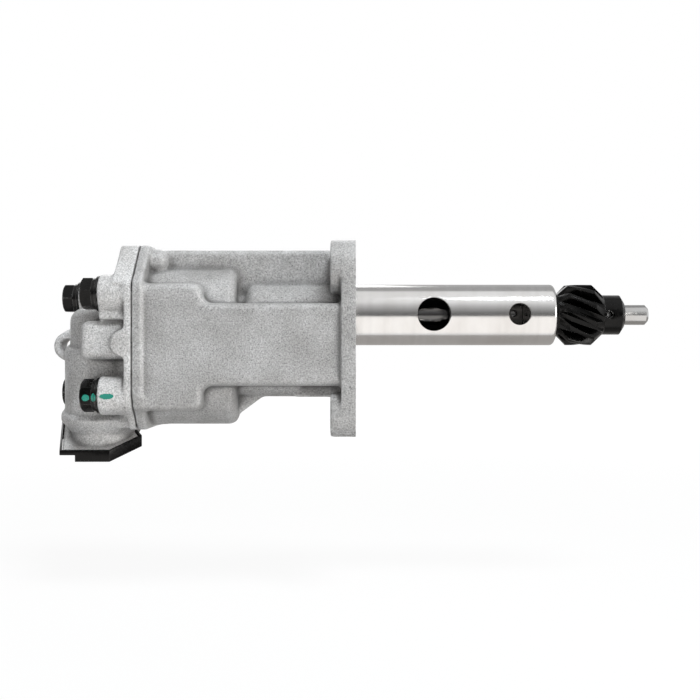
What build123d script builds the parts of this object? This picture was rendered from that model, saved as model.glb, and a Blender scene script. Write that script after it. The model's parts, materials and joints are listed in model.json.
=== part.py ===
from build123d import *
import math
import os

# Engine oil pump: a two-gear pump bolted in an engine block by the flange at the foot of its long sleeve.
# X runs along the drive shaft towards the helical pinion and Z is up. The origin lies on the shaft axis,
# in the machined face of the mounting flange. All sizes are millimetres.

# Fits and gaps, and how far cutting shapes run past what they cut
running_gap = 0.04
seat_gap = 0.02
face_gap = 0.3
end_float = 0.1
tip_gap = 0.1
overcut = 1.0
slab_reach = 200.0

# Shafts, sleeve and bushes, with the oil holes that the smaller window shows
shaft_d = 12.0
shaft_tip_d = 11.5
shaft_tip_len = 14.2
shaft_tip_chamfer = 1.6
shaft_start_chamfer = 0.5
sleeve_d = 35.0
sleeve_len = 114.2
sleeve_root_len = 3.0
sleeve_undercut = 0.5
sleeve_chamfer = 2.2
sleeve_core_d = 21.0
bush_wall = 2.0
bush_len = 18.3
bush_split = 0.4
lower_bush_len = 30.0
core_step = 2.0
lubrication_hole_d = 4.0
lubrication_hole_x = 90.7
lubrication_hole_z = 0.6
lubrication_pinhole_d = 2.0
lubrication_pinhole_x = 97.6

# Windows in the front of the sleeve
shaft_window_d = 19.0
shaft_window_x = 44.3
bush_window_d = 12.4
bush_window_x = 92.6

# Pump gears
gear_module = 3.0
gear_teeth = 12
gear_pressure_angle = 28.0
gear_width = 40.0
gear_backlash = 0.12
gear_dedendum = 3.6

# Gear chamber and the joint plane of the cover
chamber_wall = 5.9
chamber_end_wall = 14.4
chamber_rounding = 5.0
driven_boss_wall = 5.2
driven_boss_rounding = 4.2
driven_socket_len = 47.0
housing_d = 38.0
housing_rounding = 6.5
neck_d = 28.0
neck_len = 5.0
body_len = 122.2

# Joint flange outline, half widths and heights from the shaft axis
joint_half_width = 38.0
joint_top_half = 13.6
joint_foot_half = 22.0
joint_top_z = 39.2
joint_shoulder_z = 16.3
joint_hip_z = -46.0
joint_foot_z = -65.0
joint_corner = 5.0
body_joint_thick = 5.8
cover_joint_thick = 4.4
cover_top_thick = 10.8

# Delivery belly, trunk and centre web of the body
belly_len = 38.0
belly_front = -35.6
belly_top_z = 16.4
belly_foot_z = -53.7
belly_corner = 5.2
belly_rounding = 4.0
trunk_top_z = 5.5
trunk_foot_z = -40.0
delivery_bore_d = 16.0
delivery_y = -21.0
delivery_z = -17.5
pocket_wall = 4.0
pocket_half_height = 9.5
pocket_side_gap = 0.6
pocket_back_y = -8.0
web_thick = 16.0
web_top_z = 37.0
web_rounding = 2.5
gusset_thick = 7.0
gusset_len = 14.0
gusset_rise = 1.8

# Mounting flange
flange_thick = 8.0
ear_thick = 14.0
upper_bolt_y = -23.0
upper_bolt_z = 26.0
upper_ear_d = 30.0
lower_bolt_y = -25.5
lower_bolt_z = -56.0
lower_ear_d = 25.0
rear_bolt_y = 28.0
rear_bolt_z = -12.0
rear_ear_d = 24.0
flange_hole_d = 11.0
spot_face_d = 28.0
spot_face_depth = 6.0
crown_y = 2.0
crown_z = 29.0
crown_d = 24.0
low_web_radius = 7.0

# Cover screws, washers and dowels
screw_d = 10.0
screw_hole_d = 11.0
screw_y = 26.5
screw_upper_z = 10.8
screw_lower_z = -45.5
screw_head_flats = 16.0
screw_head_height = 6.4
screw_head_crown = 1.2
screw_face_d = 15.2
screw_point_chamfer = 1.0
screw_lug_end = 2.0
screw_grip = 32.0
screw_tapped_len = 38.0
flat_washer_thick = 1.4
flat_washer_d = 20.0
flat_washer_gap = 0.3
spring_washer_thick = 2.2
spring_washer_d = 17.6
spring_washer_slit = 1.6
spring_washer_gap = 0.2
screw_boss_d = 21.5
socket_clearance_d = 22.4
spanner_len = 14.0
front_boss_len = 19.3
rear_boss_len = 43.3
boss_step_depth = 4.5
boss_step_drop = 3.5
boss_step_overlap = 4.0
thread_boss_d = 18.0
thread_boss_rounding = 2.5
dowel_d = 6.0
dowel_in_cover = 4.0
dowel_in_body = 11.0
dowel_chamfer = 0.6
dowel_upper_y = -9.5
dowel_upper_z = 30.6
dowel_lower_y = 15.5
dowel_lower_z = -58.0
dowel_boss_d = 13.0
dowel_boss_len = 15.5
dowel_boss_rounding = 5.0

# Suction passage of the cover
passage_from_joint = 25.2
passage_y = 4.0
passage_wall = 5.5
passage_top_z = 4.0
dome_r = 18.5
dome_foot_z = -18.0
dome_foot_fall = 6.0
dome_rounding = 8.0
passage_r = 21.5
passage_foot_z = -49.0
socket_r = 23.5
socket_z = -55.3
socket_foot_z = -61.0
shoulder_z = -18.1
ring_slope = 10.0
ring_rounding = 2.0
mouth_neck_r = 17.5
mouth_neck_z = -68.0
through_len = 40.0
link_half_width = 18.0
link_foot_z = -64.5
inlet_near_y = 8.0
inlet_far_y = 20.0
inlet_half_height = 9.5
inlet_z = -18.0
inlet_len = 32.0
inlet_step = 1.0
pilot_depth = 4.0

# Relief valve in the cover
valve_y = -21.8
valve_z = -16.7
valve_d = 10.0
valve_bore_len = 24.7
valve_seat_d = 7.0
valve_len = 12.0
valve_head = 3.0
valve_skirt_wall = 1.1
valve_spill_d = 5.0
valve_spill_from_joint = 14.0
valve_block_len = 30.4
valve_block_front = -30.0
valve_block_top_z = -4.3
valve_block_foot_z = -25.5
valve_block_rounding = 4.5
valve_end_rounding = 4.2
valve_tab_d = 15.0
valve_tab_depth = 8.0
spring_wire_d = 1.1
spring_wire_sides = 8
spring_turns = 6.0

# Support ear at the back of the cover
ear_x_from_passage = -23.3
ear_y = 14.0
ear_z = -18.0
ear_depth = 15.0
ear_hole_d = 8.5
ear_tip_d = 17.0
ear_ring_d = 14.5
ear_ring_height = 1.0
ear_root_r = 20.0

# Suction mouth and strainer, on a plane that rises towards the back
mouth_slope = 23.7
mouth_z = -69.4
mouth_thick = 2.0
mouth_front_y = -17.0
mouth_back_y = 24.0
mouth_left_front = 18.2
mouth_left_back = 27.7
mouth_right_front = 8.4
mouth_right_tip = 22.3
mouth_right_back = 18.1
mouth_tip_y = -1.5
mouth_waist_y = 5.0
frame_sheet = 1.2
frame_fit = 0.1
frame_lip = 0.5
frame_skirt = 5.4
frame_ledge = 3.4
frame_notch = 7.6
frame_notch_back_y = 6.0
gauze_thick = 0.7
gauze_inset = 0.3

# Helical pinion
pinion_teeth = 11
pinion_bore_gap = 0.05
pinion_root_d = 24.4
pinion_helix_angle = 25.0
pinion_hub_d = 23.8
pinion_hub_len = 1.5
pinion_face_len = 26.5
pinion_left_chamfer = 5.5
pinion_right_chamfer = 6.5
pinion_collar_d = 22.8
pinion_collar_len = 12.1
pinion_collar_chamfer_len = 2.4
pinion_collar_face_d = 15.6
tooth_land_share = 0.22
tooth_root_share = 0.62
roll_pin_d = 5.0
roll_pin_wall = 0.9
roll_pin_slit = 0.8
roll_pin_inset = 2.5
roll_pin_short = 0.6

# Rotor key
key_width = 4.0
key_height = 4.0
key_len = 20.0

# Stations along the shaft
joint_x = -body_len
chamber_depth = gear_width + 2 * end_float
chamber_floor_x = joint_x + chamber_depth
chamber_end_x = chamber_floor_x + chamber_end_wall
housing_start_x = chamber_end_x + neck_len
pinion_x = sleeve_len + face_gap
teeth_x = pinion_x + pinion_hub_len
collar_x = teeth_x + pinion_face_len
pinion_end_x = collar_x + pinion_collar_len
shaft_end_x = pinion_end_x + shaft_tip_len
shaft_start_x = joint_x - pilot_depth + face_gap
roll_pin_x = collar_x + roll_pin_inset
rotor_x = joint_x + end_float

# Sizes worked out from the driving ones
gear_pitch_r = gear_module * gear_teeth / 2
centre_distance = 2 * gear_pitch_r
gear_tip_r = gear_pitch_r + gear_module
gear_bore_r = gear_tip_r + tip_gap
chamber_r = gear_bore_r + chamber_wall
driven_z = -centre_distance
bush_r = shaft_d / 2 + running_gap + bush_wall
bush_seat_r = bush_r + seat_gap
driven_boss_r = shaft_d / 2 + driven_boss_wall
pinion_tip_r = sleeve_d / 2 - pinion_bore_gap
passage_x = joint_x - passage_from_joint
head_turns = [10, 30, 0, 0]
screw_places = [
    (-screw_y, screw_upper_z, front_boss_len),
    (-screw_y, screw_lower_z, front_boss_len),
    (screw_y, screw_upper_z, rear_boss_len),
    (screw_y, screw_lower_z, rear_boss_len),
]
dowel_places = [(dowel_upper_y, dowel_upper_z), (dowel_lower_y, dowel_lower_z)]


# Basic shapes
def rod(x0, x1, radius, y=0.0, z=0.0):
    """Round bar along X between two stations."""
    start = Plane(origin=(x0, y, z), x_dir=(0, 1, 0), z_dir=(1, 0, 0))
    return extrude(start * Circle(radius), amount=x1 - x0)


def cross_rod(y0, y1, radius, x, z=0.0):
    """Round bar along Y between two depths."""
    start = Plane(origin=(x, y0, z), x_dir=(1, 0, 0), z_dir=(0, 1, 0))
    return extrude(start * Circle(radius), amount=y1 - y0)


def block(x0, x1, y0, y1, z0, z1):
    """Box between two opposite corners."""
    middle = Pos((x0 + x1) / 2, (y0 + y1) / 2, (z0 + z1) / 2)
    return middle * Box(x1 - x0, y1 - y0, z1 - z0)


def plate(outline, x0, x1):
    """Outline drawn across the shaft (first axis Y, second Z), given thickness along X."""
    start = Plane(origin=(x0, 0, 0), x_dir=(0, 1, 0), z_dir=(1, 0, 0))
    return extrude(start * outline, amount=x1 - x0)


def turned(points, y=0.0, z=0.0):
    """Solid of revolution about an axis along X, from (station, radius) points."""
    outline = make_face(Polyline(*points, close=True))
    return Pos(0, y, z) * revolve(Plane.XY * outline, Axis.X)


def gear_outline(tip_r, thinning, turn):
    """Involute outline of one pump gear, thinned for backlash and turned by an angle in degrees."""
    pressure = math.radians(gear_pressure_angle)
    base_r = gear_pitch_r * math.cos(pressure)
    root_r = gear_pitch_r - gear_dedendum
    pitch_half = math.pi / (2 * gear_teeth) + math.tan(pressure) - pressure
    half_loss = thinning / (2 * gear_pitch_r)
    steps = 4
    flank = []
    for step in range(steps + 1):
        radius = base_r + (tip_r - base_r) * step / steps
        roll = math.acos(base_r / radius)
        flank.append((radius, pitch_half - half_loss - (math.tan(roll) - roll)))
    flank.insert(0, (root_r, flank[0][1]))
    points = []
    for tooth in range(gear_teeth):
        middle = 2 * math.pi * tooth / gear_teeth + math.radians(turn)
        for radius, half in flank:
            points.append((radius * math.cos(middle - half), radius * math.sin(middle - half)))
        for radius, half in reversed(flank):
            points.append((radius * math.cos(middle + half), radius * math.sin(middle + half)))
    return make_face(Polyline(*points, close=True))


# Pump body
def joint_outline():
    """Outline shared by the two halves of the cover joint."""
    points = [
        (-joint_half_width, joint_shoulder_z),
        (-joint_top_half, joint_top_z),
        (joint_top_half, joint_top_z),
        (joint_half_width, joint_shoulder_z),
        (joint_half_width, joint_hip_z),
        (joint_foot_half, joint_foot_z),
        (-joint_foot_half, joint_foot_z),
        (-joint_half_width, joint_hip_z),
    ]
    outline = make_face(Polyline(*points, close=True))
    return fillet(outline.vertices(), joint_corner)


def chamber_case():
    """Round-ended case of the two gears, with its far end rounded over."""
    stadium = Pos(0, driven_z / 2) * Rot(0, 0, 90) * SlotCenterToCenter(centre_distance, 2 * chamber_r)
    case = plate(stadium, joint_x, chamber_end_x)
    return fillet(case.faces().sort_by(Axis.X)[-1].edges(), chamber_rounding)


def shaft_housing():
    """Stepped round housing of the drive shaft behind the gears."""
    barrel = rod(housing_start_x, 0, housing_d / 2)
    barrel = fillet(barrel.faces().sort_by(Axis.X)[0].edges(), housing_rounding)
    return barrel + rod(chamber_end_x - chamber_rounding, housing_start_x + housing_rounding, neck_d / 2)


def driven_boss():
    """Round boss that holds the fixed shaft, with a gusset below it."""
    end_x = chamber_floor_x + driven_socket_len + driven_boss_wall
    boss = rod(chamber_floor_x, end_x, driven_boss_r, z=driven_z)
    boss = fillet(boss.faces().sort_by(Axis.X)[-1].edges(), driven_boss_rounding)
    inner_x = chamber_end_x - chamber_rounding
    points = [
        (inner_x, driven_z),
        (chamber_end_x + gusset_len, driven_z),
        (chamber_end_x + gusset_len, driven_z - driven_boss_r),
        (inner_x, driven_z - chamber_r + gusset_rise),
    ]
    gusset = make_face(Polyline(*points, close=True))
    return boss + extrude(Plane.XZ * gusset, amount=gusset_thick / 2, both=True)


def centre_web():
    """Upright web over the shaft line, from the joint flange to the mounting flange."""
    half = web_thick / 2
    web = block(joint_x, -flange_thick, -half, half, 0, web_top_z)
    return fillet(web.edges().filter_by(Axis.X).sort_by(Axis.Z)[-2:], web_rounding)


def low_web():
    """Web from the fixed shaft's boss to the mounting flange, curving down into it."""
    half = web_thick / 2
    boss_end_x = chamber_floor_x + driven_socket_len
    curve_x = -flange_thick - low_web_radius
    under_z = driven_z - driven_boss_r
    foot_z = under_z - low_web_radius
    web = block(boss_end_x, -flange_thick, -half, half, under_z, driven_z)
    web += block(curve_x, -flange_thick, -half, half, foot_z, driven_z)
    return web - cross_rod(-half, half, low_web_radius, curve_x, foot_z)


def delivery_trunk():
    """Belly beside the gears and the trunk from it to the mounting flange, with one rounded front."""
    belly_end_x = joint_x + belly_len
    points = [
        (joint_x, belly_foot_z),
        (joint_x, belly_top_z),
        (belly_end_x, belly_top_z),
        (belly_end_x, trunk_top_z),
        (-flange_thick, trunk_top_z),
        (-flange_thick, trunk_foot_z),
        (belly_end_x, trunk_foot_z),
        (belly_end_x, belly_foot_z),
    ]
    outline = make_face(Polyline(*points, close=True))
    corners = outline.vertices().filter_by_position(Axis.X, belly_end_x - overcut, belly_end_x + overcut)
    solid = extrude(Plane.XZ * fillet(corners, belly_corner), amount=-belly_front)
    front = solid.faces().sort_by(Axis.Y)[0]
    return fillet(front.edges().sort_by(Axis.X)[1:-1], belly_rounding)


def mounting_flange():
    """Flange plate with three thick bolt ears."""
    ears = [
        (upper_bolt_y, upper_bolt_z, upper_ear_d),
        (lower_bolt_y, lower_bolt_z, lower_ear_d),
        (rear_bolt_y, rear_bolt_z, rear_ear_d),
    ]
    corners = ears + [(crown_y, crown_z, crown_d)]
    circles = Sketch() + [Pos(y, z) * Circle(d / 2) for y, z, d in corners]
    solid = plate(make_hull(circles.edges()), -flange_thick, 0)
    for y, z, d in ears:
        solid += rod(-ear_thick, 0, d / 2, y, z)
    return solid


def body_castings():
    """Everything the body casting adds, before its bores are cut."""
    solid = plate(joint_outline(), joint_x, joint_x + body_joint_thick)
    solid += chamber_case() + delivery_trunk()
    solid += shaft_housing() + driven_boss() + centre_web() + low_web() + mounting_flange()
    for y, z in dowel_places:
        bump = rod(joint_x, joint_x + dowel_boss_len, dowel_boss_d / 2, y, z)
        solid += fillet(bump.faces().sort_by(Axis.X)[-1].edges(), dowel_boss_rounding)
    for z in (screw_upper_z, screw_lower_z):
        lug = rod(joint_x, joint_x + screw_tapped_len + screw_lug_end, thread_boss_d / 2, screw_y, z)
        solid += fillet(lug.faces().sort_by(Axis.X)[-1].edges(), thread_boss_rounding)
    return solid


def gear_chamber():
    """Space of the two gears, with the ports on both sides of their mesh."""
    space = rod(joint_x, chamber_floor_x, gear_bore_r)
    space += rod(joint_x, chamber_floor_x, gear_bore_r, z=driven_z)
    start_x = joint_x + pocket_wall
    low_z = delivery_z - pocket_half_height
    high_z = delivery_z + pocket_half_height
    front_y = delivery_y - delivery_bore_d / 2 - pocket_side_gap
    space += block(start_x, chamber_floor_x, front_y, pocket_back_y, low_z, high_z)
    space += rod(chamber_floor_x - overcut, 0, delivery_bore_d / 2, delivery_y, delivery_z)
    low_z = inlet_z - inlet_half_height
    high_z = inlet_z + inlet_half_height
    space += block(joint_x, joint_x + inlet_len, inlet_near_y, inlet_far_y, low_z, high_z)
    return space + rod(joint_x, start_x, valve_seat_d / 2, valve_y, valve_z)


def shaft_bores():
    """Bush seats, cored middle of the sleeve and blind socket of the fixed shaft."""
    core_start_x = chamber_floor_x + lower_bush_len + core_step
    core_end_x = sleeve_len - 2 * bush_len - bush_split - core_step
    space = rod(chamber_floor_x, sleeve_len, bush_seat_r)
    space += rod(core_start_x, core_end_x, sleeve_core_d / 2)
    socket_end_x = chamber_floor_x + driven_socket_len
    return space + rod(chamber_floor_x, socket_end_x, shaft_d / 2 + seat_gap, z=driven_z)


def body_holes():
    """Screw holes, dowel holes and bolt holes of the body."""
    space = Part()
    for y, z, boss_len in screw_places:
        space += rod(joint_x, joint_x + screw_tapped_len, screw_d / 2 + running_gap, y, z)
    for y, z in dowel_places:
        space += rod(joint_x, joint_x + dowel_in_body + face_gap, dowel_d / 2 + seat_gap, y, z)
    bolts = [(upper_bolt_y, upper_bolt_z), (lower_bolt_y, lower_bolt_z), (rear_bolt_y, rear_bolt_z)]
    for y, z in bolts:
        space += rod(-ear_thick, 0, flange_hole_d / 2, y, z)
    face_x = -ear_thick
    return space + rod(face_x - spot_face_depth, face_x, spot_face_d / 2, upper_bolt_y, upper_bolt_z)


def pump_body():
    """Body casting up to its mounting face, with its chamber, bores, holes and the seat of the sleeve."""
    seat = rod(-sleeve_root_len, 0, sleeve_d / 2 + seat_gap)
    return body_castings() - gear_chamber() - shaft_bores() - body_holes() - seat


def locating_sleeve():
    """Turned sleeve with its two windows. It is part of the casting, split off a little inside the flange."""
    solid = chamfer(rod(0, sleeve_len, sleeve_d / 2).faces().sort_by(Axis.X)[-1].edges(), sleeve_chamfer)
    solid += rod(-sleeve_root_len, 0, sleeve_d / 2 - sleeve_undercut)
    front_y = -sleeve_d / 2 - overcut
    windows = cross_rod(front_y, 0, shaft_window_d / 2, shaft_window_x)
    windows += cross_rod(front_y, 0, bush_window_d / 2, bush_window_x)
    return solid - shaft_bores() - windows


# Pump cover
def passage_profile(inset):
    """Turned form of the domed suction passage, shrunk by an inset."""
    top_z = passage_top_z - inset
    deep_z = mouth_z - through_len
    points = [
        (0, top_z),
        (dome_r - inset, top_z),
        (dome_r - inset, dome_foot_z),
        (passage_r - inset, dome_foot_z - dome_foot_fall),
        (passage_r - inset, passage_foot_z),
        (mouth_neck_r - inset, mouth_neck_z),
        (mouth_neck_r - inset, deep_z),
        (0, deep_z),
    ]
    outline = make_face(Polyline(*points, close=True))
    corners = outline.vertices().filter_by_position(Axis.Y, top_z - overcut, top_z + overcut)
    outline = fillet(corners.sort_by(Axis.X)[-1], dome_rounding - inset / 2)
    return Pos(passage_x, passage_y, 0) * revolve(Plane.XZ * outline, Axis.Z)


def passage_ring(points, top_z):
    """Turned part of the passage whose rounded top falls towards the front."""
    outline = make_face(Polyline(*points, close=True))
    solid = Pos(passage_x, passage_y, 0) * revolve(Plane.XZ * outline, Axis.Z)
    solid -= sloped_slab(top_z, ring_slope, 0, slab_reach)
    return fillet(solid.faces().sort_by(Axis.Z)[-1].edges(), ring_rounding)


def passage_rings():
    """Shoulder below the dome and socket above the neck of the mouth."""
    shoulder = [(0, socket_foot_z), (passage_r, socket_foot_z), (passage_r, 0), (0, 0)]
    socket = [
        (0, mouth_neck_z),
        (mouth_neck_r, mouth_neck_z),
        (socket_r, socket_foot_z),
        (socket_r, passage_foot_z),
        (0, passage_foot_z),
    ]
    return passage_ring(shoulder, shoulder_z) + passage_ring(socket, socket_z)


def mouth_outline(grow):
    """Outline of the suction mouth seen from above, moved outwards by an amount."""
    points = [
        (passage_x - mouth_left_front, mouth_front_y),
        (passage_x + mouth_right_front, mouth_front_y),
        (passage_x + mouth_right_tip, mouth_tip_y),
        (passage_x + mouth_right_back, mouth_waist_y),
        (passage_x + mouth_right_back, mouth_back_y),
        (passage_x - mouth_left_back, mouth_back_y),
    ]
    outline = make_face(Polyline(*points, close=True))
    if grow == 0:
        return outline
    return offset(outline, grow, kind=Kind.INTERSECTION)


def sloped_slab(z, slope, low, high):
    """Wide slab that falls towards the front, between two heights above a plane through z."""
    half = slab_reach / 2
    tilt = Location((passage_x, 0, z), (slope, 0, 0))
    return tilt * block(-half, half, -half, half, low, high)


def mouth_piece(grow, low, high):
    """Slice of the mouth outline between two heights above its upper face."""
    tall = extrude(Plane.XY.offset(mouth_z - through_len) * mouth_outline(grow), amount=2 * through_len)
    return tall & sloped_slab(mouth_z, mouth_slope, low, high)


def cover_bosses():
    """Screw bosses of the cover, the front upper one with its stepped foot."""
    solid = Part()
    for y, z, boss_len in screw_places:
        solid += rod(joint_x - boss_len, joint_x, screw_boss_d / 2, y, z)
    foot_z = screw_upper_z - screw_boss_d / 2
    step_y = -screw_y - screw_boss_d / 2 + boss_step_depth
    low_z = foot_z - boss_step_drop
    return solid + block(joint_x - front_boss_len, joint_x, step_y, 0, low_z, foot_z + boss_step_overlap)


def valve_block():
    """Rounded block round the relief valve and the half-round tab beside it."""
    solid = block(
        joint_x - valve_block_len, joint_x, valve_block_front, 0, valve_block_foot_z, valve_block_top_z
    )
    solid = fillet(solid.edges().filter_by(Axis.X).sort_by(Axis.Y)[:2], valve_block_rounding)
    end = solid.faces().sort_by(Axis.X)[0]
    solid = fillet(end.edges().sort_by(Axis.Y)[:5], valve_end_rounding)
    tab_x = joint_x - cover_joint_thick
    tab = cross_rod(-joint_half_width, -joint_half_width + valve_tab_depth, valve_tab_d / 2, tab_x, valve_z)
    low_z = valve_z - valve_tab_d
    beyond = block(joint_x, joint_x + valve_tab_d, -joint_half_width, 0, low_z, low_z + 2 * valve_tab_d)
    return solid + (tab - beyond)


def support_ear():
    """Drilled ear that stays the free end of the pump."""
    tip_x = passage_x + ear_x_from_passage
    plane = Plane(origin=(0, ear_y, 0), x_dir=(1, 0, 0), z_dir=(0, -1, 0))
    ends = Sketch() + Pos(tip_x, ear_z) * Circle(ear_tip_d / 2) + Pos(passage_x, ear_z) * Circle(ear_root_r)
    web = extrude(plane * make_hull(ends.edges()), amount=-ear_depth)
    return web + cross_rod(ear_y - ear_ring_height, ear_y + ear_depth, ear_ring_d / 2, tip_x, ear_z)


def frame_room():
    """Space kept free for the strainer frame, outside the mouth's own edge."""
    grow = frame_fit + frame_sheet + face_gap
    high = frame_lip + face_gap
    return mouth_piece(grow, -frame_skirt, high) - mouth_piece(0, -frame_skirt - overcut, high + overcut)


def socket_room():
    """Space in front of each screw seat for its washers, head and spanner."""
    reach = screw_head_height + flat_washer_thick + spring_washer_thick + spanner_len
    space = Part()
    for y, z, boss_len in screw_places:
        space += rod(joint_x - boss_len - reach, joint_x - boss_len, socket_clearance_d / 2, y, z)
    return space


def cover_castings():
    """Everything the cover casting adds, before its passages are cut."""
    solid = plate(joint_outline(), joint_x - cover_joint_thick, joint_x)
    high = plate(joint_outline(), joint_x - cover_top_thick, joint_x)
    reach = joint_half_width + overcut
    top_z = joint_top_z + overcut
    solid += high & block(joint_x - cover_top_thick, joint_x, -reach, reach, joint_shoulder_z, top_z)
    solid += cover_bosses()
    near_y = passage_y - link_half_width
    link = block(passage_x, joint_x, near_y, near_y + 2 * link_half_width, link_foot_z, 0)
    solid += valve_block() + link + passage_profile(0) + passage_rings() + support_ear()
    solid -= sloped_slab(mouth_z, mouth_slope, -slab_reach, -mouth_thick) + frame_room() + socket_room()
    return solid + mouth_piece(0, -mouth_thick, 0)


def cover_passages():
    """Suction way, inlet window, valve bore and its spill hole."""
    inner = passage_profile(passage_wall)
    low_z = inlet_z - inlet_half_height
    far_y = inlet_far_y - inlet_step
    inlet = block(passage_x, joint_x, inlet_near_y, far_y, low_z, inlet_z + inlet_half_height)
    bore = rod(joint_x - valve_bore_len, joint_x, valve_d / 2 + running_gap, valve_y, valve_z)
    spill = cross_rod(valve_y, passage_y, valve_spill_d / 2, joint_x - valve_spill_from_joint, valve_z)
    return inner + inlet + bore + spill


def cover_holes():
    """Shaft pilots, screw holes, dowel holes and the hole of the ear."""
    pilot_r = shaft_d / 2 + running_gap
    space = rod(joint_x - pilot_depth, joint_x, pilot_r)
    space += rod(joint_x - pilot_depth, joint_x, pilot_r, z=driven_z)
    for y, z, boss_len in screw_places:
        space += rod(joint_x - boss_len, joint_x, screw_hole_d / 2, y, z)
    for y, z in dowel_places:
        space += rod(joint_x - dowel_in_cover - end_float, joint_x, dowel_d / 2 + seat_gap, y, z)
    ear_x = passage_x + ear_x_from_passage
    front_y = ear_y - ear_ring_height - overcut
    return space + cross_rod(front_y, ear_y + ear_depth + overcut, ear_hole_d / 2, ear_x, ear_z)


def pump_cover():
    """Cover casting with its passages and holes."""
    return cover_castings() - cover_passages() - cover_holes()


# Rotating pieces
def drive_shaft():
    """Shaft from the cover to its free tip, with keyway and cross hole."""
    radius = shaft_d / 2
    tip_r = shaft_tip_d / 2
    points = [
        (shaft_start_x, 0),
        (shaft_start_x, radius - shaft_start_chamfer),
        (shaft_start_x + shaft_start_chamfer, radius),
        (pinion_end_x, radius),
        (pinion_end_x, tip_r),
        (shaft_end_x - shaft_tip_chamfer, tip_r),
        (shaft_end_x, tip_r - shaft_tip_chamfer),
        (shaft_end_x, 0),
    ]
    solid = turned(points)
    solid -= rotor_key(seat_gap)
    reach = radius + overcut
    return solid - cross_rod(-reach, reach, roll_pin_d / 2 + seat_gap, roll_pin_x)


def rotor_key(grow):
    """Flat key between the shaft and the driving gear, grown to cut its seat."""
    middle_x = rotor_x + gear_width / 2
    half_len = key_len / 2 + grow
    half_width = key_width / 2 + grow
    low_z = shaft_d / 2 - key_height / 2 - grow
    high_z = low_z + key_height + 2 * grow
    return block(middle_x - half_len, middle_x + half_len, -half_width, half_width, low_z, high_z)


def drive_rotor():
    """Driving gear, keyed on the shaft. A tooth space points at the other gear."""
    turn = 180 / gear_teeth
    outline = gear_outline(gear_tip_r, gear_backlash, turn - 90)
    solid = plate(outline, rotor_x, rotor_x + gear_width)
    solid -= rod(rotor_x, rotor_x + gear_width, shaft_d / 2 + seat_gap)
    half_width = key_width / 2 + seat_gap
    top_z = shaft_d / 2 + key_height / 2 + seat_gap
    return solid - block(rotor_x, rotor_x + gear_width, -half_width, half_width, 0, top_z)


def driven_rotor():
    """Idle gear. One of its teeth points at the driving gear."""
    outline = Pos(0, driven_z) * gear_outline(gear_tip_r, gear_backlash, 90)
    solid = plate(outline, rotor_x, rotor_x + gear_width)
    return solid - rod(rotor_x, rotor_x + gear_width, bush_seat_r, z=driven_z)


def driven_bush():
    """Bush pressed in the idle gear."""
    solid = rod(rotor_x, rotor_x + gear_width, bush_r, z=driven_z)
    return solid - rod(rotor_x, rotor_x + gear_width, shaft_d / 2 + running_gap, z=driven_z)


def driven_shaft():
    """Fixed shaft of the idle gear."""
    end_x = chamber_floor_x + driven_socket_len - face_gap
    solid = rod(shaft_start_x, end_x, shaft_d / 2, z=driven_z)
    return chamfer(solid.edges().filter_by(GeomType.CIRCLE), shaft_start_chamfer)


def bush(x0, length):
    """Plain bush of the drive shaft."""
    return rod(x0, x0 + length, bush_r) - rod(x0, x0 + length, shaft_d / 2 + running_gap)


def sleeve_bush():
    """Inner bush at the sleeve's end, with its oil hole."""
    start_x = sleeve_len - 2 * bush_len - bush_split - end_float
    radius = lubrication_hole_d / 2
    hole = cross_rod(-bush_r - overcut, 0, radius, lubrication_hole_x, lubrication_hole_z)
    return bush(start_x, bush_len) - hole


def end_bush():
    """Outer bush at the sleeve's end, with its small oil hole."""
    hole = cross_rod(-bush_r - overcut, 0, lubrication_pinhole_d / 2, lubrication_pinhole_x)
    return bush(sleeve_len - bush_len - end_float, bush_len) - hole


def pinion_envelope():
    """Turned blank of the helical pinion."""
    hub_r = pinion_hub_d / 2
    collar_r = pinion_collar_d / 2
    points = [
        (pinion_x, 0),
        (pinion_x, hub_r),
        (teeth_x, hub_r),
        (teeth_x + pinion_left_chamfer, pinion_tip_r),
        (collar_x - pinion_right_chamfer, pinion_tip_r),
        (collar_x, collar_r),
        (pinion_end_x - pinion_collar_chamfer_len, collar_r),
        (pinion_end_x, pinion_collar_face_d / 2),
        (pinion_end_x, 0),
    ]
    return turned(points)


def pinion_outline():
    """Cross-section of the helical teeth."""
    pitch = 2 * math.pi / pinion_teeth
    land = pitch * tooth_land_share / 2
    root = pitch * tooth_root_share / 2
    tip_r = pinion_tip_r + overcut
    root_r = pinion_root_d / 2
    points = []
    for tooth in range(pinion_teeth):
        middle = tooth * pitch
        corners = [(root_r, -root), (tip_r, -land), (tip_r, land), (root_r, root)]
        points += [(r * math.cos(middle + a), r * math.sin(middle + a)) for r, a in corners]
    return make_face(Polyline(*points, close=True))


def helical_pinion():
    """Helical pinion with right-hand teeth and a pinned collar."""
    mean_r = (pinion_tip_r + pinion_root_d / 2) / 2
    lead = 2 * math.pi * mean_r / math.tan(math.radians(pinion_helix_angle))
    twist = 360 * pinion_face_len / lead
    start = Plane(origin=(teeth_x, 0, 0), x_dir=(0, 1, 0), z_dir=(1, 0, 0))
    outline = start * pinion_outline()
    teeth = Solid.extrude_linear_with_rotation(outline.face(), start.origin, (pinion_face_len, 0, 0), twist)
    blank = pinion_envelope()
    core = blank & rod(pinion_x, pinion_end_x, pinion_hub_d / 2)
    solid = core + (blank & teeth)
    solid -= rod(pinion_x, pinion_end_x, shaft_d / 2 + seat_gap)
    reach = pinion_collar_d / 2 + overcut
    return solid - cross_rod(-reach, reach, roll_pin_d / 2 + seat_gap, roll_pin_x)


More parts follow.
